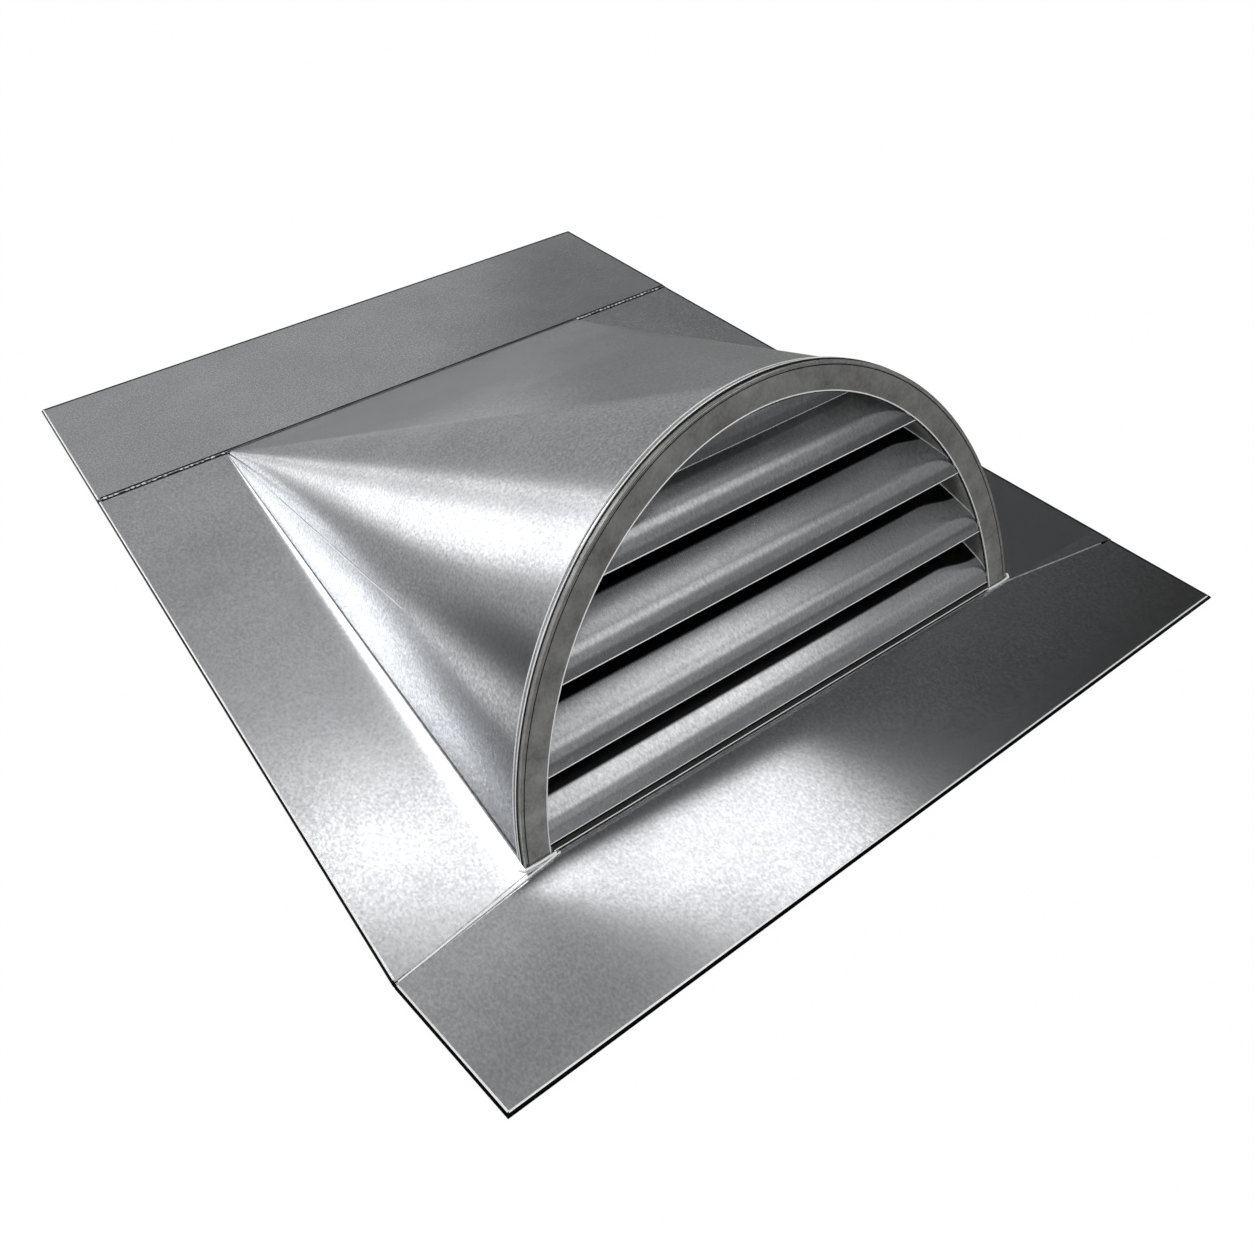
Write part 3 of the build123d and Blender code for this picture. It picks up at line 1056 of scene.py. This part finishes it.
def buildTent():
    material, tree = studioMaterial("tentCloth")
    place = objectPlace(tree)
    direction = addNode(tree, "ShaderNodeVectorMath", {0: place}, operation="NORMALIZE").outputs[0]
    level = studio["domeGrey"]
    for card in tentCards.values():
        level = mixLevels(tree, cardShare(tree, direction, card), level, card["level"])
    addNode(tree, "ShaderNodeOutputMaterial", {0: glowNode(tree, level)})
    bpy.ops.mesh.primitive_uv_sphere_add(segments=96, ring_count=48, radius=studio["domeRadius"])
    tent = bpy.context.object
    tent.name = "lightTent"
    tent.data.materials.append(material)
    stageForMetal(tent, material)


buildTent()


# Reflector card leaning close before the face: only the apron's metal sees it, from the front.
# Its light pool has four corners, each given along the face and up it, in metres; its left wing is
# bent forward along the lap seam.
apronCard = {
    "front": 0.0045,
    "left": -0.42,
    "bend": -0.205,
    "leftOut": 0.029,
    "right": 1.05,
    "low": -0.005,
    "high": 0.62,
    "pool": ((-0.234, 0.016), (0.006, 0.062), (0.266, 0.437), (0.033, 0.476)),
    "soft": (0.040, 0.060, 0.016),
    "poolLevels": (1.62, 1.95),
    "poolSpan": (0.1, 0.45),
    "leftLevels": (0.5, 0.27),
    "leftSpan": (0.05, 0.5),
    "rightLevels": (0.115, 0.038),
    "rightSpan": (0.15, 0.75),
}


def buildApronCard():
    material, tree = studioMaterial("apronCard")
    across, up, _ = splitVector(tree, objectPlace(tree))

    def beyond(start, end, soft):
        (x0, y0), (x1, y1) = start, end
        length = math.hypot(x1 - x0, y1 - y0)
        sideways = mathNode(
            tree, "MULTIPLY", mathNode(tree, "SUBTRACT", across, x0), (y1 - y0) / length
        )
        upward = mathNode(tree, "MULTIPLY", mathNode(tree, "SUBTRACT", up, y0), (x1 - x0) / length)
        away = mathNode(tree, "SUBTRACT", sideways, upward)
        return spread(tree, away, -soft / 2, soft / 2, 0.0, 1.0, smooth=True)

    foot, top, right, low = apronCard["pool"]
    softTop, softRight, softLeft = apronCard["soft"]
    pool = mathNode(tree, "SUBTRACT", 1.0, beyond(foot, top, softTop))
    pool = mathNode(
        tree, "MULTIPLY", pool, mathNode(tree, "SUBTRACT", 1.0, beyond(top, right, softRight))
    )
    leftEdge = beyond(foot, low, softLeft)
    pool = mathNode(tree, "MULTIPLY", pool, leftEdge)
    leftLevel = spread(tree, up, *apronCard["leftSpan"], *apronCard["leftLevels"])
    rightLevel = spread(tree, across, *apronCard["rightSpan"], *apronCard["rightLevels"])
    poolLevel = spread(tree, up, *apronCard["poolSpan"], *apronCard["poolLevels"])
    base = mixLevels(tree, leftEdge, leftLevel, rightLevel)
    cardSurface(tree, mixLevels(tree, pool, base, poolLevel))
    x0, bend, x1, low, high, out = (
        apronCard[k] for k in ("left", "bend", "right", "low", "high", "leftOut")
    )
    points = [
        (x0, low, out), (bend, low, 0), (x1, low, 0),
        (x1, high, 0), (bend, high, 0), (x0, high, out),
    ]
    card = flatPiece("apronCard", points, [(0, 1, 4, 5), (1, 2, 3, 4)], material)
    card.location = onFace(0.0, 0.0, -apronCard["front"])
    card.rotation_euler = (math.pi / 2 - face["tilt"], 0, 0)
    stageForMetal(card, material)


buildApronCard()


# Narrow white card standing along the hood's left foot, seen only by the side flashing before it
baseCard = {
    "back": (-0.2092, 0.258),
    "front": (-0.2306, -0.342),
    "foot": 0.0046,
    "rise": 0.046,
    "level": 3.0,
}


def buildBaseCard():
    material, tree = studioMaterial("baseCard")
    cardSurface(tree, baseCard["level"])
    back, front, low = baseCard["back"], baseCard["front"], baseCard["foot"]
    points = [(*back, low), (*front, low), (*front, low + baseCard["rise"])]
    stageForMetal(flatPiece("baseCard", points, [(0, 1, 2)], material), material)


buildBaseCard()


# Floor: white to the camera, with the vent's soft shadow on it
def buildFloor():
    material, tree = studioMaterial("paleFloor")
    pale = addNode(tree, "ShaderNodeBsdfDiffuse", {"Color": grey(studio["floorGrey"])}).outputs[0]
    cameraRay = addNode(tree, "ShaderNodeLightPath").outputs["Is Camera Ray"]
    share = mathNode(tree, "MULTIPLY", cameraRay, studio["floorWhite"])
    mixed = addNode(tree, "ShaderNodeMixShader", {0: share, 1: pale, 2: glowNode(tree, 1.0)})
    addNode(tree, "ShaderNodeOutputMaterial", {0: mixed.outputs[0]})
    half, low = studio["floorSize"], -0.0004
    corners = [(-half, -half, low), (half, -half, low), (half, half, low), (-half, half, low)]
    floor = flatPiece("floor", corners, [(0, 1, 2, 3)], material)
    floor.visible_glossy = False


buildFloor()


# Matte dark sheet on the floor inside the throat, where the roof's hole would be: painted shade
throatSheet = {"half": 0.215, "level": -0.0002, "front": -0.336, "back": 0.272, "tone": 0.01}


def buildThroatSheet():
    material, tree = studioMaterial("throatDark")
    matte = addNode(tree, "ShaderNodeBsdfDiffuse", {"Color": grey(throatSheet["tone"])})
    addNode(tree, "ShaderNodeOutputMaterial", {0: matte.outputs[0]})
    half, low, front, back = (throatSheet[k] for k in ("half", "level", "front", "back"))
    corners = [(-half, front, low), (half, front, low), (half, back, low), (-half, back, low)]
    flatPiece("throatShade", corners, [(0, 1, 2, 3)], material)


buildThroatSheet()


# Two plain soft lamps
lamps = {
    "keyLamp": {"place": (-1.6, -0.9, 2.2), "size": 1.2, "power": 18},
    "fillLamp": {"place": (1.8, 1.2, 2.0), "size": 1.2, "power": 12},
}


def softLamp(name, place, size, power):
    data = bpy.data.lights.new(name, "AREA")
    data.shape = "SQUARE"
    data.size = size
    data.energy = power
    lamp = bpy.data.objects.new(name, data)
    lamp.location = place
    lamp.rotation_euler = (-Vector(place)).to_track_quat("-Z", "Y").to_euler()
    scene.collection.objects.link(lamp)
    lamp.visible_glossy = False


for name, lamp in lamps.items():
    softLamp(name, **lamp)
scene.view_settings.view_transform = "Standard"
print("studio set")
